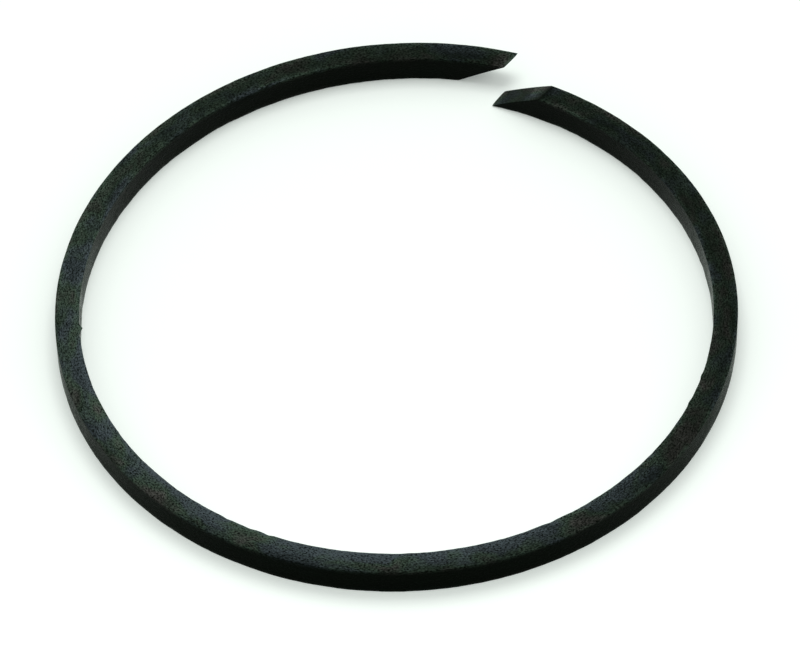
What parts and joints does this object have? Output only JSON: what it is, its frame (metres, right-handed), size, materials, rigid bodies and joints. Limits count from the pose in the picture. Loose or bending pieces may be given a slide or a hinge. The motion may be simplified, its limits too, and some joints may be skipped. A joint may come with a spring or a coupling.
{
  "type": "sealing ring",
  "caption": "Split sealing ring of filled plastic, nearly square in section, parted by one sloping scarf cut and lying free on its side.",
  "frame": {"origin": "on the axis of the ring's round half, in the plane of the lower side face", "axes": "+Z along the ring's axis, out of the upper side face; the half towards -Y is round, and the split is at about 70 degrees from +X towards +Y"},
  "size_m": [0.056, 0.0575, 0.0025],
  "materials": {
    "filled_plastic": "matte black filled plastic with fine wear"
  },
  "bodies": {
    "root": {"seal_ring": "filled_plastic"}
  },
  "joints": []
}
